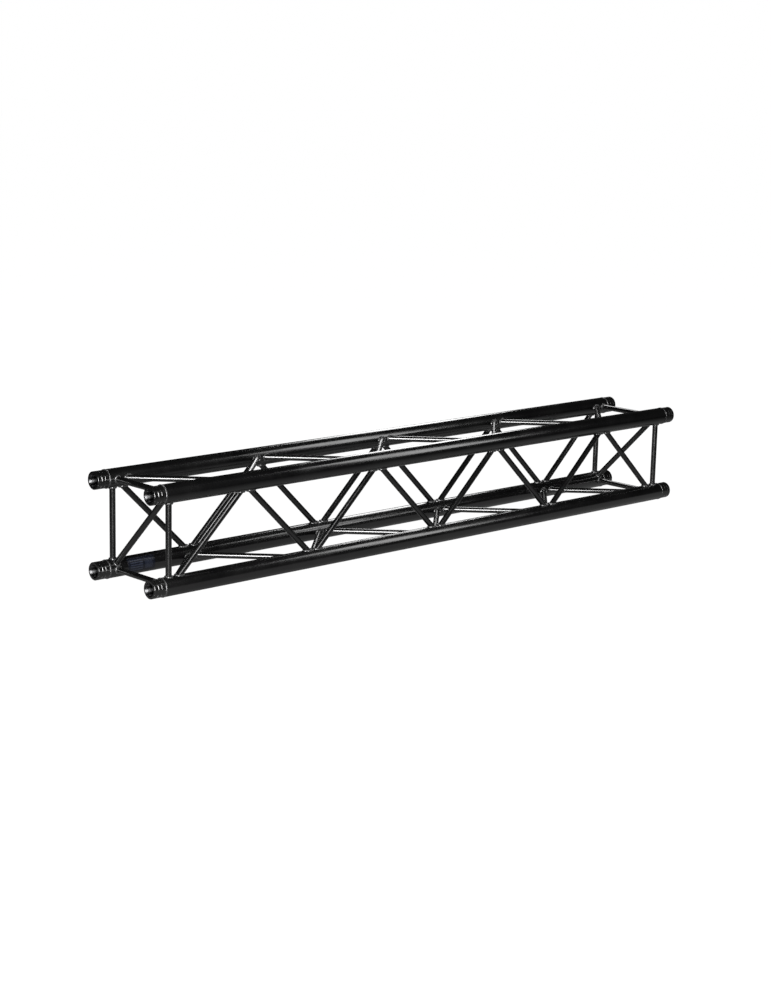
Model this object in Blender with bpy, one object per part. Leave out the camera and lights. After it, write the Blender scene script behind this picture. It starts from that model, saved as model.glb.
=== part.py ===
"""Two-metre section of square lighting truss.

Four chord tubes run along X at the corners of a square.  Round brace tubes zigzag between them on all
four faces, a welded frame with one cross diagonal closes each end, and a turned conical coupler is
welded into each chord end.  Every tube, coupler and label is its own object.

Frame: X along the truss, -Y the front face, +Z up.  The origin is under the middle of the section, on
the plane that its lower chords rest on.
"""
import math

import bmesh
import bpy
from mathutils import Matrix, Vector

# ---------------------------------------------------------------- driving dimensions, in metres
LENGTH = 2.000                # over the faces of the couplers
CHORD_SPACING = 0.239         # between chord axes, across and up
CHORD_RADIUS = 0.025
CHORD_WALL = 0.003

BRACE_RADIUS = 0.008
BRACE_WALL = 0.002
BAYS = 8                      # diagonals along each face
BAY_PITCH = 0.231             # between neighbouring nodes along a chord
NODE_OVERRUN = 0.008          # a diagonal's axis meets the chord's axis this far past the node
END_FRAME_INSET = 0.060       # from the coupler face to the plane of the end frame

COUPLER_REACH = 0.037         # how far a coupler stands out of its chord
COUPLER_RADIUS = 0.0240
COUPLER_TAIL = 0.024          # length that sits inside the chord
COUPLER_RIM_CHAMFER = 0.001
MOUTH_RADIUS = 0.0185         # flared lead-in at the face
FLARE_DEPTH = 0.006
CONE_RADIUS_OUTER = 0.0160    # conical seat behind the flare
CONE_RADIUS_INNER = 0.0135
PIN_HOLE_RADIUS = 0.0055
PIN_HOLE_INSET = 0.019        # from the coupler face to the pin's axis

LABEL_LENGTH = 0.086
LABEL_THICKNESS = 0.0004
LABEL_INSET = 0.092           # from the left coupler face to the label's left edge
LABEL_LOW_ANGLE = -40.0       # degrees above the front horizontal
LABEL_HIGH_ANGLE = 60.0

FIT_GAP = 0.0003              # left between pieces that are welded or seated together

# ---------------------------------------------------------------- resolution of round shapes
CHORD_SIDES = 24
BRACE_SIDES = 12
PIN_HOLE_SIDES = 16
LABEL_STEPS = 8
SMOOTH_ANGLE = math.radians(35.0)

# ---------------------------------------------------------------- derived places
HALF_SPACING = CHORD_SPACING / 2
AXIS_LOW = CHORD_RADIUS
AXIS_HIGH = CHORD_RADIUS + CHORD_SPACING
CHORD_LENGTH = LENGTH - 2 * (COUPLER_REACH + FIT_GAP)
SADDLE_RADIUS = CHORD_RADIUS + FIT_GAP

# Chord axes in the YZ plane.
CHORDS = {
    "front_top": Vector((-HALF_SPACING, AXIS_HIGH)),
    "front_bottom": Vector((-HALF_SPACING, AXIS_LOW)),
    "rear_top": Vector((HALF_SPACING, AXIS_HIGH)),
    "rear_bottom": Vector((HALF_SPACING, AXIS_LOW)),
}

# Each face's zigzag starts on the first chord named and swings to the second.
FACES = {
    "front": ("front_bottom", "front_top"),
    "rear": ("rear_top", "rear_bottom"),
    "top": ("rear_top", "front_top"),
    "bottom": ("front_bottom", "rear_bottom"),
}

# The five tubes of each end frame and the chords that they join.
END_FRAME = {
    "end_post_front": ("front_bottom", "front_top"),
    "end_post_rear": ("rear_bottom", "rear_top"),
    "end_bar_top": ("front_top", "rear_top"),
    "end_bar_bottom": ("front_bottom", "rear_bottom"),
    "end_diagonal": ("rear_bottom", "front_top"),
}

SIDES = {"left": -1, "right": 1}

# Base colour, roughness and metallic value of each finish.
FINISHES = {
    "powder_coat": ((0.012, 0.012, 0.013, 1.0), 0.42, 0.0),
    "coupler_coat": ((0.014, 0.014, 0.015, 1.0), 0.33, 0.2),
    "label_film": ((0.022, 0.028, 0.055, 1.0), 0.40, 0.0),
}


def clear_scene():
    """Remove everything that the file opened with."""
    for item in list(bpy.data.objects):
        bpy.data.objects.remove(item, do_unlink=True)


def finish_material(name):
    """Return the named Principled finish, made on first use."""
    material = bpy.data.materials.get(name)
    if material is None:
        material = bpy.data.materials.new(name)
        material.use_nodes = True
        colour, roughness, metallic = FINISHES[name]
        shader = material.node_tree.nodes["Principled BSDF"]
        shader.inputs["Base Color"].default_value = colour
        shader.inputs["Roughness"].default_value = roughness
        shader.inputs["Metallic"].default_value = metallic
    return material


def mesh_from(bm, name):
    """Close a bmesh into a mesh with outward normals and smooth round faces."""
    bmesh.ops.recalc_face_normals(bm, faces=bm.faces)
    mesh = bpy.data.meshes.new(name)
    bm.to_mesh(mesh)
    bm.free()
    mesh.shade_smooth()
    mesh.set_sharp_from_angle(angle=SMOOTH_ANGLE)
    return mesh


def add_piece(name, mesh, finish, parent, place=(0.0, 0.0, 0.0), turn=0.0):
    """Put one named object in the scene, turned about Z, under the section's empty."""
    if not mesh.materials:
        mesh.materials.append(finish_material(finish))
    piece = bpy.data.objects.new(name, mesh)
    piece.location = place
    piece.rotation_euler = (0.0, 0.0, turn)
    piece.parent = parent
    bpy.context.scene.collection.objects.link(piece)
    return piece


def turned_mesh(name, profile, sides):
    """Spin a closed profile of (distance along X, radius) points once round the X axis."""
    bm = bmesh.new()
    corners = [bm.verts.new((along, 0.0, radius)) for along, radius in profile]
    rim = [bm.edges.new((corners[i - 1], corners[i])) for i in range(len(corners))]
    bmesh.ops.spin(bm, geom=corners + rim, cent=(0.0, 0.0, 0.0), axis=(1.0, 0.0, 0.0),
                   angle=2 * math.pi, steps=sides, use_merge=True)
    return mesh_from(bm, name)


def chord_mesh():
    """Plain tube for one chord, centred on its own origin."""
    half = CHORD_LENGTH / 2
    bore = CHORD_RADIUS - CHORD_WALL
    profile = [(-half, bore), (half, bore), (half, CHORD_RADIUS), (-half, CHORD_RADIUS)]
    return turned_mesh("chord_tube", profile, CHORD_SIDES)


def coupler_profile():
    """Turned outline of a coupler, with its face at X = 0 and its tail towards +X."""
    tail_radius = CHORD_RADIUS - CHORD_WALL - FIT_GAP
    tail_end = COUPLER_REACH + COUPLER_TAIL
    return [
        (0.0, MOUTH_RADIUS),
        (0.0, COUPLER_RADIUS - COUPLER_RIM_CHAMFER),
        (COUPLER_RIM_CHAMFER, COUPLER_RADIUS),
        (COUPLER_REACH, COUPLER_RADIUS),
        (COUPLER_REACH, tail_radius),
        (tail_end, tail_radius),
        (tail_end, CONE_RADIUS_INNER),
        (FLARE_DEPTH, CONE_RADIUS_OUTER),
    ]


def pin_cutter(parent):
    """Guide cylinder along Z that cuts the pin hole through a coupler standing at the origin."""
    bm = bmesh.new()
    bmesh.ops.create_cone(bm, cap_ends=True, segments=PIN_HOLE_SIDES, radius1=PIN_HOLE_RADIUS,
                          radius2=PIN_HOLE_RADIUS, depth=4 * COUPLER_RADIUS,
                          matrix=Matrix.Translation((PIN_HOLE_INSET, 0.0, 0.0)))
    cutter = add_piece("pin_hole_guide", mesh_from(bm, "pin_hole_guide"), "coupler_coat", parent)
    cutter.hide_render = True
    cutter.display_type = "WIRE"
    return cutter


def drilled_coupler_mesh(parent):
    """Coupler with its pin hole, cut once and shared by all eight couplers."""
    blank = add_piece("coupler_blank", turned_mesh("coupler_blank", coupler_profile(), CHORD_SIDES),
                      "coupler_coat", parent)
    cutter = pin_cutter(parent)
    cut = blank.modifiers.new("pin_hole", "BOOLEAN")
    cut.operation = "DIFFERENCE"
    cut.solver = "EXACT"
    cut.object = cutter
    graph = bpy.context.evaluated_depsgraph_get()
    mesh = bpy.data.meshes.new_from_object(blank.evaluated_get(graph))
    mesh.name = "coupler"
    mesh.shade_smooth()
    mesh.set_sharp_from_angle(angle=SMOOTH_ANGLE)
    bpy.data.objects.remove(blank, do_unlink=True)
    bpy.data.objects.remove(cutter, do_unlink=True)
    return mesh


def distance_to_saddle(offset, direction, rise):
    """How far a line of the tube's wall runs from the brace's middle to the chord's surface."""
    start = Vector((offset.y, offset.z)) - rise / 2
    heading = Vector((direction.y, direction.z))
    a = heading.dot(heading)
    b = heading.dot(start)
    c = start.dot(start) - SADDLE_RADIUS ** 2
    return (-b - math.sqrt(b * b - a * c)) / a


def brace_mesh(name, run, rise):
    """Tube whose two ends are coped to sit on chords.

    run is the distance along X, and rise the YZ step, between the points where the brace's axis meets
    the two chords' axes.  The mesh is centred on the brace's middle.
    """
    direction = Vector((run, rise.x, rise.y)).normalized()
    across = direction.cross(Vector((1.0, 0.0, 0.0))).normalized()
    other = direction.cross(across)
    bm = bmesh.new()
    rings = []
    for radius in (BRACE_RADIUS, BRACE_RADIUS - BRACE_WALL):
        near, far = [], []
        for step in range(BRACE_SIDES):
            angle = 2 * math.pi * step / BRACE_SIDES
            offset = radius * (math.cos(angle) * across + math.sin(angle) * other)
            forward = distance_to_saddle(offset, direction, rise)
            backward = distance_to_saddle(-offset, direction, rise)
            far.append(bm.verts.new(offset + forward * direction))
            near.append(bm.verts.new(offset - backward * direction))
        rings += [near, far]
    outer_near, outer_far, inner_near, inner_far = rings
    for first, second in ((outer_near, outer_far), (outer_far, inner_far),
                          (inner_far, inner_near), (inner_near, outer_near)):
        for i in range(BRACE_SIDES):
            bm.faces.new((first[i - 1], first[i], second[i], second[i - 1]))
    return mesh_from(bm, name)


def label_mesh():
    """Curved film that wraps the front of a chord, centred on its length."""
    inner = CHORD_RADIUS + FIT_GAP
    outer = inner + LABEL_THICKNESS
    half = LABEL_LENGTH / 2
    bm = bmesh.new()
    corners = [(-half, inner), (half, inner), (half, outer), (-half, outer)]
    section = bm.faces.new([bm.verts.new((along, -radius, 0.0)) for along, radius in corners])
    start = Matrix.Rotation(-math.radians(LABEL_LOW_ANGLE), 4, "X")
    bmesh.ops.transform(bm, matrix=start, verts=bm.verts)
    sweep = math.radians(LABEL_LOW_ANGLE - LABEL_HIGH_ANGLE)
    bmesh.ops.spin(bm, geom=[section] + section.verts[:] + section.edges[:], cent=(0.0, 0.0, 0.0),
                   axis=(1.0, 0.0, 0.0), angle=sweep, steps=LABEL_STEPS)
    return mesh_from(bm, "label_film")


def add_chords(parent):
    """The four chord tubes."""
    mesh = chord_mesh()
    for corner, axis in CHORDS.items():
        add_piece(f"chord_{corner}", mesh, "powder_coat", parent, (0.0, axis.x, axis.y))


def add_couplers(parent):
    """A coupler in both ends of every chord, its mouth facing outwards."""
    mesh = drilled_coupler_mesh(parent)
    for side, sign in SIDES.items():
        turn = 0.0 if sign < 0 else math.pi
        for corner, axis in CHORDS.items():
            place = (sign * LENGTH / 2, axis.x, axis.y)
            add_piece(f"coupler_{side}_{corner}", mesh, "coupler_coat", parent, place, turn)


def add_diagonals(parent):
    """The zigzag of each face.  Odd and even bays lean opposite ways and share two meshes."""
    run = BAY_PITCH + 2 * NODE_OVERRUN
    for face, (first, second) in FACES.items():
        low, high = CHORDS[first], CHORDS[second]
        meshes = (brace_mesh(f"diagonal_{face}_odd", run, high - low),
                  brace_mesh(f"diagonal_{face}_even", run, low - high))
        middle = (low + high) / 2
        for bay in range(BAYS):
            along = (bay + 0.5 - BAYS / 2) * BAY_PITCH
            add_piece(f"diagonal_{face}_{bay + 1}", meshes[bay % 2], "powder_coat", parent,
                      (along, middle.x, middle.y))


def add_end_frames(parent):
    """Two posts, two bars and one diagonal across each end."""
    for name, (first, second) in END_FRAME.items():
        low, high = CHORDS[first], CHORDS[second]
        mesh = brace_mesh(name, 0.0, high - low)
        middle = (low + high) / 2
        for side, sign in SIDES.items():
            along = sign * (LENGTH / 2 - END_FRAME_INSET)
            add_piece(f"{name}_{side}", mesh, "powder_coat", parent, (along, middle.x, middle.y))


def add_label(parent):
    """Identification label on the inner front of the rear bottom chord, by its left end."""
    axis = CHORDS["rear_bottom"]
    along = -LENGTH / 2 + LABEL_INSET + LABEL_LENGTH / 2
    add_piece("identification_label", label_mesh(), "label_film", parent, (along, axis.x, axis.y))


def main():
    clear_scene()
    section = bpy.data.objects.new("truss_section", None)
    bpy.context.scene.collection.objects.link(section)
    add_chords(section)
    add_couplers(section)
    add_diagonals(section)
    add_end_frames(section)
    add_label(section)


main()
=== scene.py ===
import math
import random

import bmesh
import bpy
import numpy as np
from bpy.props import FloatProperty, FloatVectorProperty, IntProperty, PointerProperty
from mathutils import Matrix, Vector


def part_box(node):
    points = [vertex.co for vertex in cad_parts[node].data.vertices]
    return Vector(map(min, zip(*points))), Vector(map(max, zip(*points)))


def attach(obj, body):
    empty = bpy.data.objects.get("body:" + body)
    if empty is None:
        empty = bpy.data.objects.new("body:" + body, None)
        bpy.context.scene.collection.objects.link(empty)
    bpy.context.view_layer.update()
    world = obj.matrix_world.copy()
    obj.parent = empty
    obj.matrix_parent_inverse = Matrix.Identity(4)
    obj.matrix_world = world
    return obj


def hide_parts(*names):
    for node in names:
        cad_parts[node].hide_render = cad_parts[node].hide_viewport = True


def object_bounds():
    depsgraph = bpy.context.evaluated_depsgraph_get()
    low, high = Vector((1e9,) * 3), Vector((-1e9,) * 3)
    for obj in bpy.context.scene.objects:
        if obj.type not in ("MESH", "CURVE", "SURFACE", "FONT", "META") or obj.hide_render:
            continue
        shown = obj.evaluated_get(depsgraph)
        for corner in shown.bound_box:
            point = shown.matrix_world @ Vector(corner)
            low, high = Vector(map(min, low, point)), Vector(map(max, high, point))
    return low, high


bl_info = {
    "name": "Lighting Truss Section",
    "version": (1, 0, 0),
    "blender": (4, 5, 0),
    "location": "3D View > Sidebar > Truss",
    "description": "Detailed black lighting truss built round its packed frame",
    "category": "Add Mesh",
}

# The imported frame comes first, so that every size and place below can be read from it.
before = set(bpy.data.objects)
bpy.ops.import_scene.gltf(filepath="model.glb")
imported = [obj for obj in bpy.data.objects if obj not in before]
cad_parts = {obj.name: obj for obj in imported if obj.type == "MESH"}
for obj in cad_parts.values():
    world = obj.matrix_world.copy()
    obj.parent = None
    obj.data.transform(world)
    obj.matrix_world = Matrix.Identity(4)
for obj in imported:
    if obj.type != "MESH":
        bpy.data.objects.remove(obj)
CAD_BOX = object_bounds()
BODY = "root"

CORNERS = ("front_top", "front_bottom", "rear_top", "rear_bottom")
SIDES = {"left": -1, "right": 1}

# Each face's zigzag starts on the first chord named and swings to the second.
FACES = {
    "front": ("front_bottom", "front_top"),
    "rear": ("rear_top", "rear_bottom"),
    "top": ("rear_top", "front_top"),
    "bottom": ("front_bottom", "rear_bottom"),
}

# The tubes of an end frame and the chords that they join.
END_FRAME = {
    "end_post_front": ("front_bottom", "front_top"),
    "end_post_rear": ("rear_bottom", "rear_top"),
    "end_bar_top": ("front_top", "rear_top"),
    "end_bar_bottom": ("front_bottom", "rear_bottom"),
    "end_diagonal": ("rear_bottom", "front_top"),
}


# ---------------------------------------------------------------------- the frame's measures
def box_centre(node):
    """Middle of a CAD node's box."""
    low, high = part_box(node)
    return (Vector(low) + Vector(high)) / 2


def box_size(node):
    """Extents of a CAD node's box."""
    low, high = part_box(node)
    return Vector(high) - Vector(low)


CHORD_AXES = {corner: box_centre(f"chord_{corner}") for corner in CORNERS}
CHORD_RADIUS = box_size("chord_front_top").z / 2
CHORD_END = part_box("chord_front_top")[1][0]
BRACE_RADIUS = box_size("end_post_front_left").x / 2
SECTION_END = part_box("coupler_right_front_top")[1][0]
COUPLER_RADIUS = box_size("coupler_right_front_top").z / 2
COUPLER_DEPTH = box_size("coupler_right_front_top").x
COUPLER_REACH = SECTION_END - CHORD_END
BAY_PITCH = box_centre("diagonal_front_2").x - box_centre("diagonal_front_1").x
BAYS = sum(name.startswith("diagonal_front_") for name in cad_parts)
SECTION_MIDDLE = Vector((CAD_BOX[0] + CAD_BOX[1]) / 2)


# ---------------------------------------------------------------------- properties
class TrussSizes(bpy.types.PropertyGroup):
    """Sizes of the fine detail that the CAD model leaves out."""

    chord_wall: FloatProperty(
        name="Chord Wall", description="Wall of the chord tubes", default=0.003, unit="LENGTH")
    brace_wall: FloatProperty(
        name="Brace Wall", description="Wall of the brace tubes", default=0.002, unit="LENGTH")
    node_overrun: FloatProperty(
        name="Node Overrun", default=0.008, unit="LENGTH",
        description="How far past its node a diagonal's axis meets the chord's axis")
    weld_radius: FloatProperty(
        name="Weld Radius", description="Half width of the bead round a brace's foot",
        default=0.0031, unit="LENGTH")
    ring_weld_radius: FloatProperty(
        name="Ring Weld Radius", description="Half width of the bead round a coupler",
        default=0.0027, unit="LENGTH")
    ripple_pitch: FloatProperty(
        name="Ripple Pitch", description="Length of one ripple of a bead", default=0.0027,
        unit="LENGTH")
    ripple_depth: FloatProperty(
        name="Ripple Depth", description="Depth of a ripple as a share of the bead's radius",
        default=0.16, min=0.0, max=0.5, subtype="FACTOR")
    groove_width: FloatProperty(
        name="Groove Width", description="Width of the main turned groove", default=0.0019,
        unit="LENGTH")
    groove_depth: FloatProperty(
        name="Groove Depth", description="Depth of the main turned groove", default=0.0007,
        unit="LENGTH")
    mouth_radius: FloatProperty(
        name="Mouth Radius", description="Radius of a coupler's flared mouth", default=0.0185,
        unit="LENGTH")
    pin_radius: FloatProperty(
        name="Pin Hole Radius", description="Radius of the cross-pin hole", default=0.0055,
        unit="LENGTH")
    pin_inset: FloatProperty(
        name="Pin Hole Inset", description="From the coupler's face to the pin's axis",
        default=0.019, unit="LENGTH")
    chord_sides: IntProperty(
        name="Chord Sides", description="Facets round a chord or coupler", default=96, min=12)
    brace_sides: IntProperty(
        name="Brace Sides", description="Facets round a brace", default=40, min=8)


class TrussFinish(bpy.types.PropertyGroup):
    """Colours and gloss of the finishes."""

    coat_colour: FloatVectorProperty(
        name="Coat Colour", description="Black powder coat", default=(0.0012, 0.0012, 0.0013),
        size=3, subtype="COLOR", min=0.0, max=1.0)
    coat_dust: FloatVectorProperty(
        name="Dusty Coat", description="Powder coat where dust and fingers dull it",
        default=(0.0045, 0.0044, 0.0042), size=3, subtype="COLOR", min=0.0, max=1.0)
    coat_roughness: FloatProperty(
        name="Coat Roughness", description="Roughness of clean coat", default=0.20,
        min=0.0, max=1.0, subtype="FACTOR")
    bare_metal: FloatVectorProperty(
        name="Bare Metal", description="Aluminium where the coat has rubbed through",
        default=(0.56, 0.56, 0.57), size=3, subtype="COLOR", min=0.0, max=1.0)
    label_field: FloatVectorProperty(
        name="Label Field", description="Dark ground of the label",
        default=(0.0028, 0.0035, 0.0065), size=3, subtype="COLOR", min=0.0, max=1.0)
    label_ink: FloatVectorProperty(
        name="Label Print", description="Pale print on the label", default=(0.030, 0.036, 0.056),
        size=3, subtype="COLOR", min=0.0, max=1.0)


class StudioSettings(bpy.types.PropertyGroup):
    """Camera, lights and surroundings."""

    azimuth: FloatProperty(
        name="Azimuth", description="Camera's bearing, from the front towards the right",
        default=math.radians(-43.158), subtype="ANGLE")
    elevation: FloatProperty(
        name="Elevation", description="Camera's height above the horizon",
        default=math.radians(12.256), subtype="ANGLE")
    roll: FloatProperty(
        name="Roll", description="Camera's tilt about its own axis",
        default=math.radians(1.280), subtype="ANGLE")
    distance: FloatProperty(
        name="Distance", description="From the section's middle to the camera's plane",
        default=5.904, unit="LENGTH")
    offset: FloatVectorProperty(
        name="Offset", description="Camera's sideways and upward offset", size=2,
        default=(-0.0642, -0.0411), unit="LENGTH")
    lens: FloatProperty(name="Lens", description="Focal length in millimetres", default=74.64)
    key_level: FloatProperty(
        name="Key Level", description="Brightness of the tall softbox at the right", default=3.6,
        min=0.0)
    front_level: FloatProperty(
        name="Front Level", description="Brightness of the broad softbox beside the camera",
        default=26.0, min=0.0)
    left_level: FloatProperty(
        name="Left Level", description="Brightness of the small softbox at the left", default=6.5,
        min=0.0)
    rear_level: FloatProperty(
        name="Rear Level", description="Brightness of the softbox behind", default=6.0, min=0.0)
    room_level: FloatProperty(
        name="Room Level", description="Light from all round on dull surfaces", default=0.3,
        min=0.0)
    # Floor Glow is painted light: an emission on the floor round the section, which the coat
    # mirrors; no lamp lights it.
    floor_glow: FloatProperty(
        name="Floor Glow", description="Brightness of the lit floor under the section, as the "
        "coat mirrors it", default=0.23, min=0.0)


# ---------------------------------------------------------------------- mesh helpers
class Shells:
    """Collects closed grids of points, each with its material, into one mesh."""

    def __init__(self):
        self.points = []
        self.faces = []
        self.slots = []

    def add_grid(self, grid, slot=0):
        """Add a grid that closes on itself both ways, like the skin of a ring."""
        rows, columns = grid.shape[:2]
        start = len(self.points)
        self.points.extend(grid.reshape(-1, 3).tolist())
        for i in range(rows):
            a, b = start + i * columns, start + (i + 1) % rows * columns
            for j in range(columns):
                k = (j + 1) % columns
                self.faces.append((a + j, a + k, b + k, b + j))
        self.slots.extend([slot] * (rows * columns))

    def add_mesh(self, mesh, matrix):
        """Add a finished mesh, moved by a matrix, with its faces' own materials."""
        start = len(self.points)
        self.points.extend(tuple(matrix @ vertex.co) for vertex in mesh.vertices)
        for face in mesh.polygons:
            self.faces.append(tuple(start + index for index in face.vertices))
            self.slots.append(face.material_index)

    def build(self, name, materials, sharp=math.radians(32.0)):
        """Make the object: outward faces, smooth round surfaces and creases where they turn."""
        mesh = bpy.data.meshes.new(name)
        mesh.from_pydata(self.points, [], self.faces)
        mesh.polygons.foreach_set("material_index", self.slots)
        bm = bmesh.new()
        bm.from_mesh(mesh)
        bmesh.ops.recalc_face_normals(bm, faces=bm.faces)
        bm.to_mesh(mesh)
        bm.free()
        for material in materials:
            mesh.materials.append(material)
        mesh.shade_smooth()
        mesh.set_sharp_from_angle(angle=sharp)
        piece = bpy.data.objects.new(name, mesh)
        bpy.context.scene.collection.objects.link(piece)
        return piece


def fit_to_frame(piece, node):
    """Let a detailed piece stand for its CAD node."""
    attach(piece, BODY)
    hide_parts(node)


def unit(vectors):
    """Vectors scaled to length one along their last axis."""
    return vectors / np.linalg.norm(vectors, axis=-1, keepdims=True)


def round_corners(corners, steps=3):
    """Outline of (x, y, radius) corners with each corner rounded by an arc of that radius."""
    outline = []
    for i, (x, y, radius) in enumerate(corners):
        here = Vector((x, y))
        before = (Vector(corners[i - 1][:2]) - here).normalized()
        after = (Vector(corners[(i + 1) % len(corners)][:2]) - here).normalized()
        half = before.angle(after) / 2
        if radius == 0.0 or half > math.radians(89.0):
            outline.append(here)
            continue
        reach = radius / math.tan(half)
        centre = here + (before + after).normalized() * (radius / math.sin(half))
        first = here + before * reach - centre
        last = here + after * reach - centre
        for step in range(steps + 1):
            outline.append(centre + first.slerp(last, step / steps).normalized() * radius)
    return outline


def hold_edges(outline, margin=0.0008):
    """Outline with extra points beside the ends of its long straights, so that shading and wear
    masks stay close to the edges."""
    held = []
    for i, here in enumerate(outline):
        after = outline[(i + 1) % len(outline)]
        held.append(here)
        if (after - here).length > 3 * margin:
            step = (after - here).normalized() * margin
            held += [here + step, after - step]
    return held


def turned_grid(outline, sides):
    """Grid of a closed outline of (distance along X, radius) turned about the X axis."""
    angles = np.linspace(0.0, 2 * math.pi, sides, endpoint=False)
    along = np.array([point.x for point in outline])
    radius = np.array([point.y for point in outline])
    grid = np.empty((len(outline), sides, 3))
    grid[..., 0] = along[:, None]
    grid[..., 1] = radius[:, None] * np.cos(angles)
    grid[..., 2] = radius[:, None] * np.sin(angles)
    return grid


# ---------------------------------------------------------------------- weld beads
BEAD_SIDES = 12               # points round a bead's section
POINTS_PER_RIPPLE = 7
CRESCENT = 0.75               # how far a ripple's middle runs ahead of its edges, in radians
TIE_IN_LENGTH = 0.006         # where a bead's end overlaps its start
TIE_IN_RISE = 0.16
SCALLOP_POWER = 0.7           # below 1, ripples are round on top with narrow valleys
SCALLOP_LEVEL = 0.7           # taken off a ripple's height, so that the bead keeps its width
FOOT_WELD_SINK = -0.15        # how far a bead's middle lies inside its corner, in bead radii
RING_WELD_SINK = 0.72
RING_WELD_LEAN = 0.9          # how far the ring weld's two sides lean along the chord


def spread_evenly(curve, count):
    """Indices that walk a closed curve in count equal steps, and the curve's length."""
    steps = np.linalg.norm(np.roll(curve, -1, axis=0) - curve, axis=1)
    travelled = np.concatenate([[0.0], np.cumsum(steps)])
    wanted = np.linspace(0.0, travelled[-1], count, endpoint=False)
    return np.interp(wanted, travelled, np.arange(len(travelled))), travelled[-1]


def sample_loop(values, places):
    """Values of a closed loop of vectors at fractional indices."""
    low = np.floor(places).astype(int)
    share = (places - low)[:, None]
    return values[low % len(values)] * (1 - share) + values[(low + 1) % len(values)] * share


def bead_grid(curve, normal_a, normal_b, radius, sink, sizes, seed):
    """Rippled weld bead along a closed curve in the corner between two surfaces.

    normal_a and normal_b are the two surfaces' outward normals at each point.  sink is how far the
    bead's middle lies inside the corner, as a share of its radius.
    """
    draw = random.Random(seed)
    length = np.linalg.norm(np.roll(curve, -1, axis=0) - curve, axis=1).sum()
    ripples = max(8, round(length / sizes.ripple_pitch))
    places, length = spread_evenly(curve, ripples * POINTS_PER_RIPPLE)
    points = sample_loop(curve, places)
    side_a, side_b = unit(sample_loop(normal_a, places)), unit(sample_loop(normal_b, places))
    outward = unit(side_a + side_b)
    across = unit(side_a - side_b)

    travel = np.linspace(0.0, 2 * math.pi, len(points), endpoint=False)
    wander = sum(draw.uniform(0.015, 0.035) * np.sin(turns * travel + draw.uniform(0.0, 6.28))
                 for turns in (2, 3, 5, 7))
    start = draw.uniform(0.0, 2 * math.pi)
    turn = np.abs((travel - start + math.pi) % (2 * math.pi) - math.pi)
    from_start = turn * length / (2 * math.pi)
    tie_in = TIE_IN_RISE * np.clip(1 - from_start / TIE_IN_LENGTH, 0.0, 1.0) ** 2
    size = radius * (1 + wander + tie_in)

    around = np.linspace(-math.pi, math.pi, BEAD_SIDES, endpoint=False)
    phase = travel[:, None] * ripples / 2 + CRESCENT * around[None, :] ** 2
    scallop = np.abs(np.cos(phase)) ** SCALLOP_POWER - SCALLOP_LEVEL
    showing = np.clip(np.cos(around), 0.0, 1.0)[None, :]
    reach = size[:, None] * (1 + sizes.ripple_depth * scallop * showing)
    section = (reach * np.cos(around))[..., None] * outward[:, None, :]
    section = section + (reach * np.sin(around))[..., None] * across[:, None, :]
    return (points - outward * radius * sink)[:, None, :] + section


# ---------------------------------------------------------------------- braces
FOOT_EMBED = 0.0003           # how far a brace's coped end reaches into its chord
SADDLE_POINTS = 180           # points on a saddle curve before it is respaced
RING_POINTS = 180             # points on a ring weld's curve


class Brace:
    """Centre line of a brace between two chord axes, with the frame that its wall is drawn in."""

    def __init__(self, middle, run, rise):
        self.middle = np.array(middle)
        self.half = np.array((run, rise.y, rise.z)) / 2
        self.direction = unit(self.half)
        self.across = unit(np.cross(self.direction, (1.0, 0.0, 0.0)))
        self.other = np.cross(self.direction, self.across)

    def wall_normals(self, count):
        """Unit vectors out of the tube at even steps round it."""
        angles = np.linspace(0.0, 2 * math.pi, count, endpoint=False)[:, None]
        return np.cos(angles) * self.across + np.sin(angles) * self.other

    def saddle(self, wall_radius, chord_radius, end, count):
        """Points where the tube's wall meets a chord: end 1 is the far chord and -1 the near."""
        offset = self.wall_normals(count) * wall_radius
        heading = self.direction * end
        start = (offset - self.half * end)[:, 1:]
        a = (heading[1:] ** 2).sum()
        b = (start * heading[1:]).sum(axis=1)
        c = (start ** 2).sum(axis=1) - chord_radius ** 2
        reach = (-b - np.sqrt(b * b - a * c)) / a
        return self.middle + offset + reach[:, None] * heading

    def chord_normals(self, points, end):
        """Outward normals of the chord's surface at points on it."""
        axis = self.middle + self.half * end
        away = points - axis
        away[:, 0] = 0.0
        return unit(away)


def brace_piece(node, middle, run, rise, sizes, materials):
    """Coped tube with a weld bead round each foot."""
    brace = Brace(middle, run, rise)
    shells = Shells()
    inner = BRACE_RADIUS - sizes.brace_wall
    seat = CHORD_RADIUS - FOOT_EMBED
    loops = [brace.saddle(BRACE_RADIUS, seat, -1, sizes.brace_sides),
             brace.saddle(BRACE_RADIUS, seat, 1, sizes.brace_sides),
             brace.saddle(inner, seat, 1, sizes.brace_sides),
             brace.saddle(inner, seat, -1, sizes.brace_sides)]
    shells.add_grid(np.array(loops))
    for end in (-1, 1):
        curve = brace.saddle(BRACE_RADIUS, CHORD_RADIUS, end, SADDLE_POINTS)
        shells.add_grid(
            bead_grid(curve, brace.chord_normals(curve, end), brace.wall_normals(SADDLE_POINTS),
                      sizes.weld_radius, FOOT_WELD_SINK, sizes, f"{node} {end}"), 1)
    piece = shells.build(node + "_welded", materials)
    fit_to_frame(piece, node)
    return piece


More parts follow.
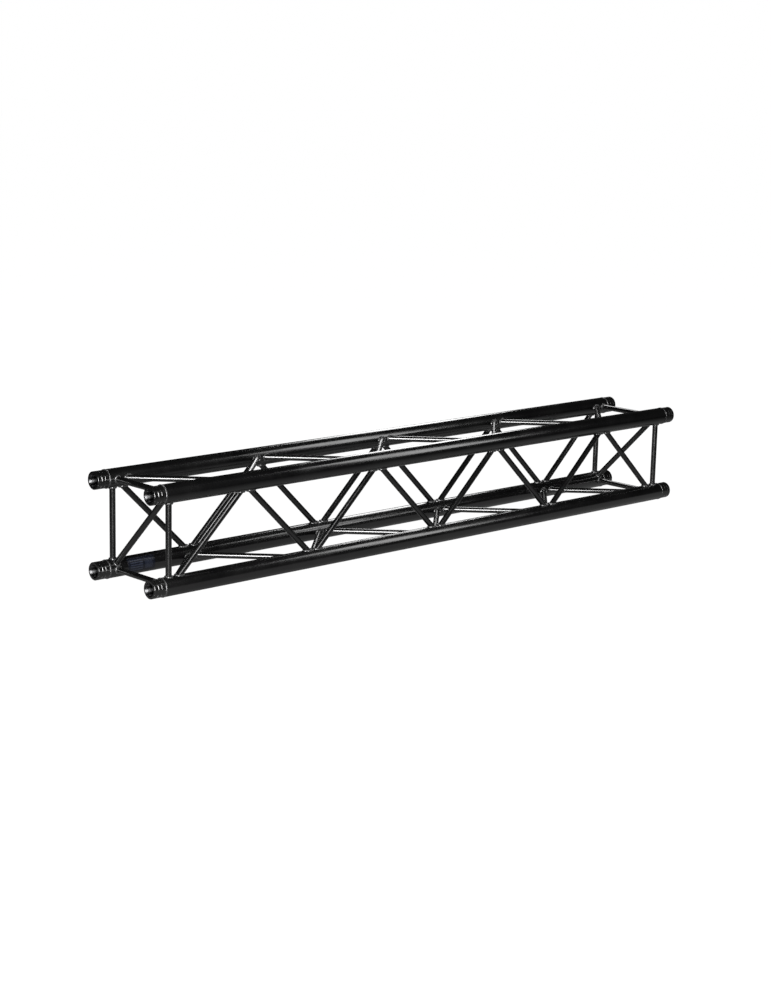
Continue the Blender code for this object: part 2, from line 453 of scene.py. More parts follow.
# ---------------------------------------------------------------------- material helpers
class Graph:
    """Short way to add and join nodes in a tree."""

    def __init__(self, tree):
        self.tree = tree
        self.column = 0

    def add(self, kind, values=None, **settings):
        """Add a node, set its properties and its unlinked inputs, or link them from sockets."""
        node = self.tree.nodes.new(kind)
        self.column += 1
        node.location = (self.column * 190.0, -(self.column % 4) * 170.0)
        for key, value in settings.items():
            setattr(node, key, value)
        for key, value in (values or {}).items():
            if isinstance(value, bpy.types.NodeSocket):
                self.tree.links.new(value, node.inputs[key])
            else:
                node.inputs[key].default_value = value
        return node

    def math(self, operation, first, second=0.0, clamp=False):
        """Result of a Math node."""
        node = self.add("ShaderNodeMath", {0: first, 1: second}, operation=operation)
        node.use_clamp = clamp
        return node.outputs[0]

    def noise(self, vector, scale, detail=3.0, roughness=0.5):
        """Factor of a noise texture whose scale is in features per metre."""
        node = self.add("ShaderNodeTexNoise", {"Vector": vector, "Scale": scale, "Detail": detail,
                                               "Roughness": roughness})
        return node.outputs["Fac"]

    def remap(self, value, low, high, to_low=0.0, to_high=1.0):
        """Value stretched from one range to another, clamped."""
        node = self.add("ShaderNodeMapRange", {"Value": value, "From Min": low, "From Max": high,
                                               "To Min": to_low, "To Max": to_high})
        return node.outputs["Result"]

    def mix(self, factor, first, second):
        """Blend of two colours."""
        node = self.add("ShaderNodeMix", data_type="RGBA")
        for index, value in ((0, factor), (6, first), (7, second)):
            if isinstance(value, bpy.types.NodeSocket):
                self.tree.links.new(value, node.inputs[index])
            elif index:
                node.inputs[index].default_value = (*value, 1.0)
            else:
                node.inputs[index].default_value = value
        return node.outputs[2]

    def bump(self, height, distance, strength=1.0):
        """Normal from a height given as a share of distance."""
        node = self.add("ShaderNodeBump", {"Height": height, "Distance": distance,
                                           "Strength": strength})
        return node.outputs["Normal"]

    def group(self, tree, values):
        """Place a node group and set its inputs."""
        node = self.add("ShaderNodeGroup", node_tree=tree)
        for key, value in values.items():
            if isinstance(value, bpy.types.NodeSocket):
                self.tree.links.new(value, node.inputs[key])
            else:
                node.inputs[key].default_value = value
        return node


def new_group(name, inputs, outputs):
    """Start a node group; inputs are (name, default) pairs, or a name alone for a vector."""
    tree = bpy.data.node_groups.new(name, "ShaderNodeTree")
    for entry in inputs:
        if isinstance(entry, str):
            tree.interface.new_socket(entry, in_out="INPUT", socket_type="NodeSocketVector")
        else:
            socket = tree.interface.new_socket(entry[0], in_out="INPUT",
                                               socket_type="NodeSocketFloat")
            socket.default_value = entry[1]
    for entry in outputs:
        tree.interface.new_socket(entry, in_out="OUTPUT", socket_type="NodeSocketFloat")
    graph = Graph(tree)
    source = graph.add("NodeGroupInput")
    result = graph.add("NodeGroupOutput")
    return tree, graph, source.outputs, result.inputs


def powder_grain_group():
    """Fine orange peel of a baked powder coat, and the slow change in gloss across it."""
    tree, graph, given, out = new_group(
        "Powder Grain", ["Vector", ("Peel Scale", 700.0), ("Mottle Scale", 9.0)],
        ["Height", "Mottle"])
    coarse = graph.noise(given["Vector"], given["Peel Scale"], 2.0, 0.45)
    fine_scale = graph.math("MULTIPLY", given["Peel Scale"], 3.1)
    fine = graph.noise(given["Vector"], fine_scale, 1.0, 0.5)
    tree.links.new(graph.math("ADD", coarse, graph.math("MULTIPLY", fine, 0.35)), out["Height"])
    mottle = graph.noise(given["Vector"], given["Mottle Scale"], 5.0, 0.62)
    tree.links.new(graph.remap(mottle, 0.36, 0.66), out["Mottle"])
    return tree


def handling_group():
    """Streaks along the tubes from sliding in racks, and specks of dust."""
    tree, graph, given, out = new_group(
        "Handling Marks", ["Vector", ("Amount", 0.5), ("Speck Scale", 420.0)],
        ["Rub", "Dust"])
    stretched = graph.add("ShaderNodeVectorMath", {0: given["Vector"], 1: (7.0, 190.0, 190.0)},
                          operation="MULTIPLY")
    streak = graph.noise(stretched.outputs[0], 1.0, 3.0, 0.55)
    patch = graph.noise(given["Vector"], 5.5, 2.0, 0.5)
    threshold = graph.math("SUBTRACT", 0.78, graph.math("MULTIPLY", given["Amount"], 0.2))
    worn = graph.math("ADD", graph.math("MULTIPLY", streak, 0.62),
                      graph.math("MULTIPLY", patch, 0.4))
    rub = graph.add("ShaderNodeMapRange", {"Value": worn, "From Min": threshold,
                                           "From Max": graph.math("ADD", threshold, 0.12)})
    tree.links.new(rub.outputs["Result"], out["Rub"])
    speck = graph.noise(given["Vector"], given["Speck Scale"], 1.0, 0.4)
    drift = graph.noise(given["Vector"], 14.0, 3.0, 0.6)
    specks = graph.math("MULTIPLY", graph.remap(speck, 0.62, 0.74), graph.remap(drift, 0.4, 0.7))
    tree.links.new(graph.math("MULTIPLY", specks, given["Amount"]), out["Dust"])
    return tree


def edge_wear_group():
    """Mask of the sharp outer edges, broken up by noise, where the coat rubs through first."""
    tree, graph, given, out = new_group(
        "Edge Wear", ["Vector", ("Start", 0.56), ("Full", 0.66), ("Break-up Scale", 260.0)],
        ["Mask"])
    geometry = graph.add("ShaderNodeNewGeometry")
    edge = graph.add("ShaderNodeMapRange", {"Value": geometry.outputs["Pointiness"],
                                            "From Min": given["Start"], "From Max": given["Full"]})
    noise = graph.noise(given["Vector"], given["Break-up Scale"], 4.0, 0.65)
    broken = graph.math("MULTIPLY", edge.outputs["Result"], graph.remap(noise, 0.34, 0.6))
    tree.links.new(broken, out["Mask"])
    return tree


def turning_group():
    """Fine rings that a lathe tool leaves round the X axis."""
    tree, graph, given, out = new_group(
        "Turning Marks", ["Vector", ("Ring Pitch", 0.00045), ("Unevenness", 0.5)], ["Height"])
    parts = graph.add("ShaderNodeSeparateXYZ", {0: given["Vector"]})
    place = graph.math("DIVIDE", parts.outputs["X"], given["Ring Pitch"])
    ridge = graph.math("PINGPONG", place, 0.5)
    along = graph.add("ShaderNodeCombineXYZ",
                      {0: graph.math("MULTIPLY", parts.outputs["X"], 900.0)})
    uneven = graph.math("MULTIPLY", graph.noise(along.outputs[0], 1.0, 3.0, 0.6),
                        given["Unevenness"])
    tree.links.new(graph.math("ADD", ridge, uneven), out["Height"])
    return tree


GROUPS = {
    "grain": ("Powder Grain", powder_grain_group),
    "handling": ("Handling Marks", handling_group),
    "edges": ("Edge Wear", edge_wear_group),
    "turning": ("Turning Marks", turning_group),
}


def shared_group(key):
    """A node group by its short name, built on first use."""
    title, build = GROUPS[key]
    return bpy.data.node_groups.get(title) or build()


def new_material(name):
    """New material with a Principled shader: the material, graph, shader and coordinates."""
    material = bpy.data.materials.new(name)
    material.use_nodes = True
    tree = material.node_tree
    tree.nodes.clear()
    graph = Graph(tree)
    place = graph.add("ShaderNodeTexCoord").outputs["Object"]
    shader = graph.add("ShaderNodeBsdfPrincipled")
    output = graph.add("ShaderNodeOutputMaterial", {"Surface": shader.outputs["BSDF"]})
    output.location = (3600.0, 0.0)
    shader.location = (3300.0, 0.0)
    return material, graph, shader, place


def feed(graph, shader, **links):
    """Join sockets to the shader's inputs; underscores in a name stand for spaces."""
    for name, socket in links.items():
        graph.tree.links.new(socket, shader.inputs[name.replace("_", " ")])


def coat_material(finish, name, roughness, peel, specular):
    """Black powder coat with orange peel, gloss mottle, rub streaks and dust."""
    material, graph, shader, place = new_material(name)
    grain = graph.group(shared_group("grain"), {"Vector": place})
    marks = graph.group(shared_group("handling"), {"Vector": place, "Amount": 0.55})
    dusty = graph.math("ADD", graph.math("MULTIPLY", grain.outputs["Mottle"], 0.28),
                       graph.math("ADD", graph.math("MULTIPLY", marks.outputs["Rub"], 0.35),
                                  graph.math("MULTIPLY", marks.outputs["Dust"], 0.8)), True)
    colour = graph.mix(dusty, finish.coat_colour, finish.coat_dust)
    gloss = graph.remap(grain.outputs["Mottle"], 0.0, 1.0, roughness - 0.03, roughness + 0.05)
    dull = graph.math("MULTIPLY", marks.outputs["Dust"], 0.12)
    polished = graph.math("MULTIPLY", marks.outputs["Rub"], -0.05)
    rough = graph.math("ADD", gloss, graph.math("ADD", dull, polished))
    normal = graph.bump(grain.outputs["Height"], peel)
    shader.inputs["Specular IOR Level"].default_value = specular
    feed(graph, shader, Base_Color=colour, Roughness=rough, Normal=normal)
    return material


def weld_material(finish):
    """Coat over a weld bead: thicker, smoother and with a little metal on the crests."""
    material, graph, shader, place = new_material("coated_weld")
    grain = graph.group(shared_group("grain"), {"Vector": place, "Peel Scale": 1100.0})
    edge = graph.group(shared_group("edges"), {"Vector": place, "Start": 0.53, "Full": 0.62,
                                               "Break-up Scale": 420.0})
    rubbed = graph.math("MULTIPLY", edge.outputs["Mask"], 0.35)
    coat = graph.mix(graph.math("MULTIPLY", grain.outputs["Mottle"], 0.5),
                     finish.coat_colour, finish.coat_dust)
    colour = graph.mix(rubbed, coat, finish.bare_metal)
    rough = graph.remap(grain.outputs["Mottle"], 0.0, 1.0, 0.17, 0.27)
    normal = graph.bump(grain.outputs["Height"], 0.00003)
    shader.inputs["Specular IOR Level"].default_value = 1.0
    feed(graph, shader, Base_Color=colour, Roughness=rough, Normal=normal, Metallic=rubbed)
    return material


def coupler_material(finish):
    """Thin black coat on a turned coupler, rubbed bright on its rims and grooves."""
    material, graph, shader, place = new_material("turned_coat")
    grain = graph.group(shared_group("grain"), {"Vector": place, "Peel Scale": 900.0})
    rings = graph.group(shared_group("turning"), {"Vector": place})
    edge = graph.group(shared_group("edges"), {"Vector": place, "Start": 0.54, "Full": 0.64})
    scuff_space = graph.add("ShaderNodeVectorMath", {0: place, 1: (900.0, 45.0, 45.0)},
                            operation="MULTIPLY")
    scuff = graph.remap(graph.noise(scuff_space.outputs[0], 1.0, 4.0, 0.6), 0.60, 0.72)
    bare = graph.math("ADD", graph.math("MULTIPLY", edge.outputs["Mask"], 0.3),
                      graph.math("MULTIPLY", scuff, 0.03), True)
    coat = graph.mix(graph.math("MULTIPLY", grain.outputs["Mottle"], 0.6),
                     finish.coat_colour, finish.coat_dust)
    colour = graph.mix(bare, coat, finish.bare_metal)
    rough = graph.remap(bare, 0.0, 1.0, 0.19, 0.30)
    height = graph.math("ADD", graph.math("MULTIPLY", rings.outputs["Height"], 0.6),
                        graph.math("MULTIPLY", grain.outputs["Height"], 0.4))
    normal = graph.bump(height, 0.000006)
    shader.inputs["Specular IOR Level"].default_value = 1.0
    feed(graph, shader, Base_Color=colour, Roughness=rough, Normal=normal, Metallic=bare)
    return material


def bore_material(finish):
    """Turned bare aluminium of a coupler's cone with painted shade: the metal darkened at the mouth
    and far more deeper inside, plus random grease patches.
    """
    material, graph, shader, place = new_material("turned_bore")
    rings = graph.group(shared_group("turning"), {"Vector": place, "Ring Pitch": 0.0006})
    grain = graph.group(shared_group("grain"), {"Vector": place, "Mottle Scale": 60.0})
    grease = graph.math("MULTIPLY", grain.outputs["Mottle"], 0.5)
    # Painted shade: the bore's metal is the bare metal darkened to a quarter, and a far deeper copy
    # stands for the shade inside.
    dark = tuple(channel * 0.24 for channel in finish.bare_metal)
    grease_and_shade_metal = tuple(channel * 0.04 for channel in finish.bare_metal)
    along = graph.math("ABSOLUTE", graph.add("ShaderNodeSeparateXYZ", {0: place}).outputs["X"])
    depth = graph.math("SUBTRACT", SECTION_END, along)
    # Painted shade grows from 9 to 17 mm past the face; random grease patches darken the metal too.
    grease_and_depth_shade = graph.math("MAXIMUM", grease, graph.remap(depth, 0.009, 0.017, 0.0, 1.0))
    colour = graph.mix(grease_and_depth_shade, dark, grease_and_shade_metal)
    rough = graph.remap(grain.outputs["Mottle"], 0.0, 1.0, 0.38, 0.42)
    normal = graph.bump(rings.outputs["Height"], 0.000004)
    shader.inputs["Metallic"].default_value = 1.0
    shader.inputs["Anisotropic"].default_value = 0.95
    shader.inputs["Anisotropic Rotation"].default_value = 0.25
    tangent = graph.add("ShaderNodeTangent", direction_type="RADIAL", axis="X")
    feed(graph, shader, Base_Color=colour, Roughness=rough, Normal=normal,
         Tangent=tangent.outputs[0])
    return material


def label_material(finish):
    """Dark printed film with a pale block and plain bars, and no lettering."""
    material, graph, shader, place = new_material("label_print")
    sheet = graph.add("ShaderNodeUVMap", uv_map="label")
    parts = graph.add("ShaderNodeSeparateXYZ", {0: sheet.outputs["UV"]})
    across, up = parts.outputs["X"], parts.outputs["Y"]

    def band(value, low, high):
        """1 between two limits and 0 outside."""
        above = graph.math("GREATER_THAN", value, low)
        return graph.math("MULTIPLY", above, graph.math("LESS_THAN", value, high))

    block = graph.math("MULTIPLY", band(across, 0.62, 0.90), band(up, 0.18, 0.82))
    rows = graph.math("PINGPONG", graph.math("MULTIPLY", up, 7.0), 0.5)
    bars = graph.math("MULTIPLY", graph.math("GREATER_THAN", rows, 0.30), band(across, 0.08, 0.54))
    bars = graph.math("MULTIPLY", bars, band(up, 0.14, 0.86))
    ink = graph.math("ADD", graph.math("MULTIPLY", block, 0.30), graph.math("MULTIPLY", bars, 0.55),
                     True)
    grain = graph.group(shared_group("grain"), {"Vector": place, "Mottle Scale": 45.0})
    marks = graph.group(shared_group("handling"), {"Vector": place, "Amount": 0.8})
    faded = graph.math("MULTIPLY", ink, graph.remap(grain.outputs["Mottle"], 0.0, 1.0, 0.6, 1.0))
    printed = graph.mix(faded, finish.label_field, finish.label_ink)
    dusty = graph.math("MULTIPLY", marks.outputs["Dust"], 0.6)
    colour = graph.mix(dusty, printed, finish.coat_dust)
    rough = graph.remap(grain.outputs["Mottle"], 0.0, 1.0, 0.22, 0.34)
    normal = graph.bump(grain.outputs["Height"], 0.00002)
    feed(graph, shader, Base_Color=colour, Roughness=rough, Normal=normal)
    return material


def finish_named(name):
    """A material by name, made on first use from the scene's finish settings."""
    found = bpy.data.materials.get(name)
    if found:
        return found
    finish = bpy.context.scene.truss_finish
    makers = {
        "chord_coat": lambda: coat_material(finish, name, finish.coat_roughness, 0.000004, 1.0),
        "brace_coat": lambda: coat_material(finish, name, finish.coat_roughness, 0.000004, 1.0),
        "coated_weld": lambda: weld_material(finish),
        "turned_coat": lambda: coupler_material(finish),
        "turned_bore": lambda: bore_material(finish),
        "label_print": lambda: label_material(finish),
    }
    return makers[name]()


# ---------------------------------------------------------------------- operators
class TRUSS_OT_chords(bpy.types.Operator):
    """Build the four chord tubes"""

    bl_idname = "truss.chords"
    bl_label = "Chords"

    EDGE_ROUND = 0.0004

    def execute(self, context):
        sizes = context.scene.truss_sizes
        bore = CHORD_RADIUS - sizes.chord_wall
        for corner, axis in CHORD_AXES.items():
            edge = self.EDGE_ROUND
            outline = round_corners([(-CHORD_END, bore, 0.0), (CHORD_END, bore, 0.0),
                                     (CHORD_END, CHORD_RADIUS, edge),
                                     (-CHORD_END, CHORD_RADIUS, edge)])
            shells = Shells()
            shells.add_grid(turned_grid(outline, sizes.chord_sides) + (0.0, axis.y, axis.z))
            piece = shells.build(f"chord_{corner}_tube", [finish_named("chord_coat")])
            fit_to_frame(piece, f"chord_{corner}")
        return {"FINISHED"}


class TRUSS_OT_couplers(bpy.types.Operator):
    """Build the eight turned couplers with their ring welds"""

    bl_idname = "truss.couplers"
    bl_label = "Couplers"

    CHAMFER = 0.001
    FLARE_DEPTH = 0.006
    CONE_OUTER = 0.0160
    CONE_INNER = 0.0135
    TAIL_CLEARANCE = 0.0003
    GROOVES = ((0.0117, 1.0), (0.0222, 0.6))     # distance from the face, share of full size
    PIN_CHAMFER = 0.0007
    CUTTER_OVERSHOOT = 0.001
    PIN_SIDES = 40
    COAT, WELD, BORE = 0, 1, 2

    def outline(self, sizes):
        """Turned outline with its face at X = 0 and its tail towards +X."""
        tail = CHORD_RADIUS - sizes.chord_wall - self.TAIL_CLEARANCE
        corners = [(0.0, sizes.mouth_radius, 0.0004),
                   (0.0, COUPLER_RADIUS - self.CHAMFER, 0.0003),
                   (self.CHAMFER, COUPLER_RADIUS, 0.0003)]
        for middle, share in self.GROOVES:
            half = share * sizes.groove_width / 2
            deep = COUPLER_RADIUS - share * sizes.groove_depth
            corners += [(middle - half, COUPLER_RADIUS, 0.0002),
                        (middle - half * 0.2, deep, 0.0002),
                        (middle + half * 0.2, deep, 0.0002),
                        (middle + half, COUPLER_RADIUS, 0.0002)]
        corners += [(COUPLER_REACH, COUPLER_RADIUS, 0.0),
                    (COUPLER_REACH, tail, 0.0),
                    (COUPLER_DEPTH, tail, 0.0006),
                    (COUPLER_DEPTH, self.CONE_INNER, 0.0004),
                    (self.FLARE_DEPTH, self.CONE_OUTER, 0.0008)]
        return hold_edges(round_corners(corners))

    def pin_cutter(self, sizes):
        """Waisted cylinder along Z that drills the pin hole and chamfers both of its mouths."""
        surface = COUPLER_RADIUS
        wide = sizes.pin_radius + self.PIN_CHAMFER + self.CUTTER_OVERSHOOT
        drop = surface - math.sqrt(surface ** 2 - sizes.pin_radius ** 2)
        waist = surface - drop - self.PIN_CHAMFER
        over = self.CUTTER_OVERSHOOT
        stations = [(-surface - over, wide), (-waist, sizes.pin_radius),
                    (waist, sizes.pin_radius), (surface + over, wide)]
        bm = bmesh.new()
        rings = []
        for along, radius in stations:
            ring = []
            for step in range(self.PIN_SIDES):
                angle = 2 * math.pi * step / self.PIN_SIDES
                ring.append(bm.verts.new((sizes.pin_inset + radius * math.cos(angle),
                                          radius * math.sin(angle), along)))
            rings.append(ring)
        for near, far in zip(rings, rings[1:]):
            for i in range(self.PIN_SIDES):
                bm.faces.new((near[i - 1], near[i], far[i], far[i - 1]))
        bm.faces.new(rings[0])
        bm.faces.new(rings[-1])
        bmesh.ops.recalc_face_normals(bm, faces=bm.faces)
        mesh = bpy.data.meshes.new("pin_cutter")
        bm.to_mesh(mesh)
        bm.free()
        cutter = bpy.data.objects.new("pin_cutter", mesh)
        bpy.context.scene.collection.objects.link(cutter)
        return cutter

    def drilled_mesh(self, sizes):
        """One coupler at the origin, drilled, with its bore's faces marked."""
        shells = Shells()
        shells.add_grid(turned_grid(self.outline(sizes), sizes.chord_sides))
        blank = shells.build("coupler_blank", [])
        cutter = self.pin_cutter(sizes)
        cut = blank.modifiers.new("pin_hole", "BOOLEAN")
        cut.operation = "DIFFERENCE"
        cut.solver = "EXACT"
        cut.object = cutter
        graph = bpy.context.evaluated_depsgraph_get()
        mesh = bpy.data.meshes.new_from_object(blank.evaluated_get(graph))
        for helper in (blank, cutter):
            bpy.data.objects.remove(helper, do_unlink=True)
        for face in mesh.polygons:
            radius = math.hypot(face.center.y, face.center.z)
            outward = face.normal.y * face.center.y + face.normal.z * face.center.z
            inside = radius < sizes.mouth_radius and outward < 0
            face.material_index = self.BORE if inside else self.COAT
        return mesh

    def ring_weld(self, side, axis, sizes, seed):
        """Bead that fills the step between a coupler and its chord."""
        angles = np.linspace(0.0, 2 * math.pi, RING_POINTS, endpoint=False)
        outward = np.stack([np.zeros(RING_POINTS), np.cos(angles), np.sin(angles)], axis=1)
        curve = outward * CHORD_RADIUS + (side * CHORD_END, axis.y, axis.z)
        lean = np.array((RING_WELD_LEAN, 0.0, 0.0))
        return bead_grid(curve, outward + lean, outward - lean, sizes.ring_weld_radius,
                         RING_WELD_SINK, sizes, seed)

    def execute(self, context):
        sizes = context.scene.truss_sizes
        materials = [finish_named(name) for name in ("turned_coat", "coated_weld", "turned_bore")]
        mesh = self.drilled_mesh(sizes)
        for name, side in SIDES.items():
            turn = Matrix.Rotation(0.0 if side < 0 else math.pi, 4, "Z")
            for corner, axis in CHORD_AXES.items():
                node = f"coupler_{name}_{corner}"
                place = Matrix.Translation((side * SECTION_END, axis.y, axis.z)) @ turn
                shells = Shells()
                shells.add_mesh(mesh, place)
                shells.add_grid(self.ring_weld(side, axis, sizes, node), self.WELD)
                piece = shells.build(node + "_turned", materials, math.radians(30.0))
                fit_to_frame(piece, node)
        bpy.data.meshes.remove(mesh)
        return {"FINISHED"}


class TRUSS_OT_diagonals(bpy.types.Operator):
    """Build the zigzag of diagonals on all four faces"""

    bl_idname = "truss.diagonals"
    bl_label = "Diagonals"

    def execute(self, context):
        sizes = context.scene.truss_sizes
        materials = [finish_named("brace_coat"), finish_named("coated_weld")]
        run = BAY_PITCH + 2 * sizes.node_overrun
        for face, (first, second) in FACES.items():
            for bay in range(BAYS):
                start, end = (first, second) if bay % 2 == 0 else (second, first)
                node = f"diagonal_{face}_{bay + 1}"
                rise = CHORD_AXES[end] - CHORD_AXES[start]
                middle = (CHORD_AXES[end] + CHORD_AXES[start]) / 2
                middle.x = box_centre(node).x
                brace_piece(node, middle, run, rise, sizes, materials)
        return {"FINISHED"}


class TRUSS_OT_end_frames(bpy.types.Operator):
    """Build the posts, bars and cross diagonal of both end frames"""

    bl_idname = "truss.end_frames"
    bl_label = "End Frames"

    def execute(self, context):
        sizes = context.scene.truss_sizes
        materials = [finish_named("brace_coat"), finish_named("coated_weld")]
        for name, (first, second) in END_FRAME.items():
            for side in SIDES:
                node = f"{name}_{side}"
                rise = CHORD_AXES[second] - CHORD_AXES[first]
                middle = (CHORD_AXES[second] + CHORD_AXES[first]) / 2
                middle.x = box_centre(node).x
                brace_piece(node, middle, 0.0, rise, sizes, materials)
        return {"FINISHED"}


class TRUSS_OT_label(bpy.types.Operator):
    """Build the printed label on the rear bottom chord"""

    bl_idname = "truss.label"
    bl_label = "Label"

    GLUE = 0.00002                   # the film stands this far off the chord
    THICKNESS = 0.0002
    CORNER = 0.004
    LOW = math.radians(-40.0)        # above the front horizontal
    HIGH = math.radians(60.0)
    COLUMNS, ROWS = 48, 28

    def execute(self, context):
        node = "identification_label"
        axis = CHORD_AXES["rear_bottom"]
        low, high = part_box(node)
        length = high[0] - low[0]
        width = CHORD_RADIUS * (self.HIGH - self.LOW)
        places, sheet = [], []
        for column in range(self.COLUMNS + 1):
            share = column / self.COLUMNS
            # Columns crowd towards the ends, so that the rounded corners come out round.
            share = (1 - math.cos(math.pi * share)) / 2
            edge = min(share, 1 - share) * length
            short = max(0.0, self.CORNER - edge)
            trim = self.CORNER - math.sqrt(self.CORNER ** 2 - short ** 2)
            places.append([])
            for row in range(self.ROWS + 1):
                up = trim + (width - 2 * trim) * row / self.ROWS
                places[-1].append((low[0] + share * length, self.LOW + up / CHORD_RADIUS))
                sheet.append((share, up / width))
        bm = bmesh.new()
        uv = bm.loops.layers.uv.new("label")
        skins = []
        underside = CHORD_RADIUS + self.GLUE
        for radius in (underside, underside + self.THICKNESS):
            skins.append([[bm.verts.new((x, axis.y - radius * math.cos(angle),
                                         axis.z + radius * math.sin(angle)))
                           for x, angle in column] for column in places])
        for skin in skins:
            for i in range(self.COLUMNS):
                for j in range(self.ROWS):
                    bm.faces.new((skin[i][j], skin[i + 1][j], skin[i + 1][j + 1], skin[i][j + 1]))
        rims = []
        for skin in skins:
            rim = [skin[i][0] for i in range(self.COLUMNS)]
            rim += [skin[-1][j] for j in range(self.ROWS)]
            rim += [skin[i][-1] for i in range(self.COLUMNS, 0, -1)]
            rim += [skin[0][j] for j in range(self.ROWS, 0, -1)]
            rims.append(rim)
        under, over = rims
        for i in range(len(under)):
            bm.faces.new((under[i - 1], under[i], over[i], over[i - 1]))
        bmesh.ops.recalc_face_normals(bm, faces=bm.faces)
        bm.verts.index_update()
        for face in bm.faces:
            for loop in face.loops:
                loop[uv].uv = sheet[loop.vert.index % len(sheet)]
        mesh = bpy.data.meshes.new("label_sheet")
        bm.to_mesh(mesh)
        bm.free()
        mesh.materials.append(finish_named("label_print"))
        mesh.shade_smooth()
        mesh.set_sharp_from_angle(angle=math.radians(40.0))
        piece = bpy.data.objects.new("label_sheet", mesh)
        bpy.context.scene.collection.objects.link(piece)
        fit_to_frame(piece, node)
        return {"FINISHED"}


class TRUSS_OT_stage(bpy.types.Operator):
    """Set up the floor, the lights, the surroundings and the camera"""

    bl_idname = "truss.stage"
    bl_label = "Stage"

    FLOOR_SIZE = 60.0
    FLOOR_DROP = 0.0010              # the section stands on the ring welds of its lower chords
    FLOOR_WHITE = 0.985              # the camera sees this much, and the rest is shadow and light
    FLOOR_SHADE = (0.06, 0.06, 0.06, 1.0)
    POOL_REACH = 0.5                 # how far from the section the floor's glow falls to half
    SENSOR_WIDTH = 36.0

    def softbox(self, name, place, size, level, aim=Vector((0.0, 0.0, 0.0))):
        """Rectangular softbox of an even brightness, turned to face a point.

        Places are measured from the section's middle.
        """
        data = bpy.data.lights.new(name, "AREA")
        data.shape = "RECTANGLE"
        data.size, data.size_y = size
        data.energy = level * math.pi * size[0] * size[1]
        lamp = bpy.data.objects.new(name, data)
        lamp.location = SECTION_MIDDLE + place
        lamp.rotation_euler = (place - aim).to_track_quat("Z", "Y").to_euler()
        lamp.visible_camera = False
        bpy.context.scene.collection.objects.link(lamp)

    def floor(self, glow):
        """Plain pale floor, with a pool of light round the section for the coat to mirror."""
        bm = bmesh.new()
        bmesh.ops.create_grid(bm, x_segments=1, y_segments=1, size=self.FLOOR_SIZE / 2)
        mesh = bpy.data.meshes.new("floor")
        bm.to_mesh(mesh)
        bm.free()
        material = bpy.data.materials.new("pale_floor")
        material.use_nodes = True
        tree = material.node_tree
        tree.nodes.clear()
        graph = Graph(tree)
        place = graph.add("ShaderNodeTexCoord").outputs["Object"]
        # Painted light: the floor glows with its own emission, brightest round the section and
        # fading away from it; every ray but the camera's sees this glow.
        spread = graph.add("ShaderNodeVectorMath", {0: place}, operation="ABSOLUTE").outputs[0]
        footprint = (CAD_BOX[1][0], CAD_BOX[1][1], 0.0)
        beyond = graph.add("ShaderNodeVectorMath", {0: spread, 1: footprint}, operation="SUBTRACT")
        beyond = graph.add("ShaderNodeVectorMath", {0: beyond.outputs[0], 1: (0.0, 0.0, 0.0)},
                           operation="MAXIMUM")
        distance = graph.add("ShaderNodeVectorMath", {0: beyond.outputs[0]}, operation="LENGTH")
        ratio = graph.math("DIVIDE", distance.outputs["Value"], self.POOL_REACH)
        fall = graph.math("ADD", graph.math("MULTIPLY", ratio, ratio), 1.0)
        pool = graph.add("ShaderNodeEmission", {"Strength": graph.math("DIVIDE", glow, fall)})
        white = graph.add("ShaderNodeEmission", {"Strength": self.FLOOR_WHITE})
        shade = graph.add("ShaderNodeBsdfDiffuse", {"Color": self.FLOOR_SHADE})
        seen = graph.add("ShaderNodeAddShader", {0: white.outputs[0], 1: shade.outputs[0]})
        path = graph.add("ShaderNodeLightPath")
        blend = graph.add("ShaderNodeMixShader", {0: path.outputs["Is Camera Ray"],
                                                  1: pool.outputs[0], 2: seen.outputs[0]})
        graph.add("ShaderNodeOutputMaterial", {"Surface": blend.outputs[0]})
        mesh.materials.append(material)
        floor = bpy.data.objects.new("floor", mesh)
        floor.location.z = CAD_BOX[0][2] - self.FLOOR_DROP
        bpy.context.scene.collection.objects.link(floor)

    def surroundings(self, level):
        """White to the camera, dark to the coat, and an even light for dull surfaces."""
        world = bpy.data.worlds.new("studio")
        bpy.context.scene.world = world
        world.use_nodes = True
        tree = world.node_tree
        tree.nodes.clear()
        graph = Graph(tree)
        path = graph.add("ShaderNodeLightPath")
        bearing = graph.add("ShaderNodeTexCoord").outputs["Generated"]
        height = graph.add("ShaderNodeSeparateXYZ", {0: bearing}).outputs["Z"]
        dim = graph.remap(height, 0.0, 0.5, 0.03, 0.01)
        mirrored = graph.add("ShaderNodeBackground", {"Strength": dim})
        even = graph.add("ShaderNodeBackground", {"Strength": level})
        backdrop = graph.add("ShaderNodeBackground", {"Color": (1.0, 1.0, 1.0, 1.0)})
        room = graph.add("ShaderNodeMixShader", {0: path.outputs["Is Glossy Ray"],
                                                 1: even.outputs[0], 2: mirrored.outputs[0]})
        blend = graph.add("ShaderNodeMixShader", {0: path.outputs["Is Camera Ray"],
                                                  1: room.outputs[0], 2: backdrop.outputs[0]})
        graph.add("ShaderNodeOutputWorld", {"Surface": blend.outputs[0]})

    def camera(self, studio):
        """Camera at the studio's bearing, height and roll."""
        azimuth, elevation = studio.azimuth, studio.elevation
        back = Vector((math.sin(azimuth) * math.cos(elevation),
                       -math.cos(azimuth) * math.cos(elevation), math.sin(elevation)))
        level_right = (-back).cross(Vector((0.0, 0.0, 1.0))).normalized()
        roll = Matrix.Rotation(studio.roll, 3, back)
        right = roll @ level_right
        up = back.cross(right)
        data = bpy.data.cameras.new("camera")
        data.sensor_width = self.SENSOR_WIDTH
        data.lens = studio.lens
        data.clip_end = 100.0
        camera = bpy.data.objects.new("camera", data)
        camera.rotation_euler = Matrix((right, up, back)).transposed().to_euler()
        camera.location = (SECTION_MIDDLE + back * studio.distance
                           + right * studio.offset[0] + up * studio.offset[1])
        bpy.context.scene.collection.objects.link(camera)
        bpy.context.scene.camera = camera

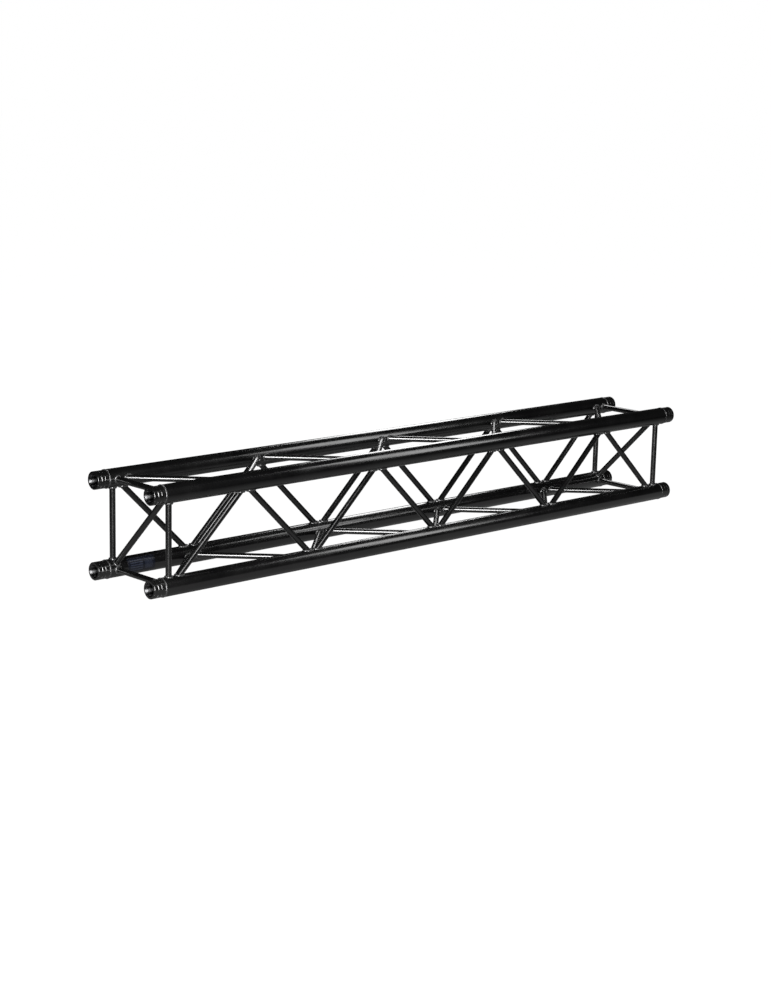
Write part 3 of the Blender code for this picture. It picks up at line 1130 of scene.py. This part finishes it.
    def execute(self, context):
        studio = context.scene.truss_studio
        self.floor(studio.floor_glow)
        self.softbox("key_softbox", Vector((1.18, -1.16, 1.24)), (0.72, 1.25), studio.key_level)
        self.softbox("front_softbox", Vector((-3.6, -3.4, 1.2)), (2.6, 2.8), studio.front_level)
        self.softbox("left_softbox", Vector((-1.15, -1.35, 1.2)), (0.5, 0.7), studio.left_level,
                     Vector((-0.8, 0.0, 0.0)))
        self.softbox("rear_softbox", Vector((1.5, 1.35, 1.1)), (0.8, 1.0), studio.rear_level)
        self.surroundings(studio.room_level)
        self.camera(studio)
        context.scene.view_settings.view_transform = "Standard"
        return {"FINISHED"}


# ---------------------------------------------------------------------- panel and registration
class VIEW3D_PT_truss(bpy.types.Panel):
    """Lists the truss section's builders and settings"""

    bl_label = "Truss Section"
    bl_space_type = "VIEW_3D"
    bl_region_type = "UI"
    bl_category = "Truss"

    def draw(self, context):
        for operator in OPERATORS:
            self.layout.operator(operator.bl_idname)
        for settings in (context.scene.truss_sizes, context.scene.truss_finish,
                         context.scene.truss_studio):
            box = self.layout.box()
            for name in settings.__annotations__:
                box.prop(settings, name)


OPERATORS = (TRUSS_OT_chords, TRUSS_OT_couplers, TRUSS_OT_diagonals, TRUSS_OT_end_frames,
             TRUSS_OT_label, TRUSS_OT_stage)
SETTINGS = {"truss_sizes": TrussSizes, "truss_finish": TrussFinish, "truss_studio": StudioSettings}


def register():
    for item in (*SETTINGS.values(), *OPERATORS, VIEW3D_PT_truss):
        bpy.utils.register_class(item)
    for name, group in SETTINGS.items():
        setattr(bpy.types.Scene, name, PointerProperty(type=group))


def unregister():
    for name in SETTINGS:
        delattr(bpy.types.Scene, name)
    for item in (VIEW3D_PT_truss, *reversed(OPERATORS), *SETTINGS.values()):
        bpy.utils.unregister_class(item)


def main():
    register()
    bpy.ops.truss.chords()
    bpy.ops.truss.couplers()
    bpy.ops.truss.diagonals()
    bpy.ops.truss.end_frames()
    bpy.ops.truss.label()
    bpy.ops.truss.stage()


if __name__ == "__main__":
    main()
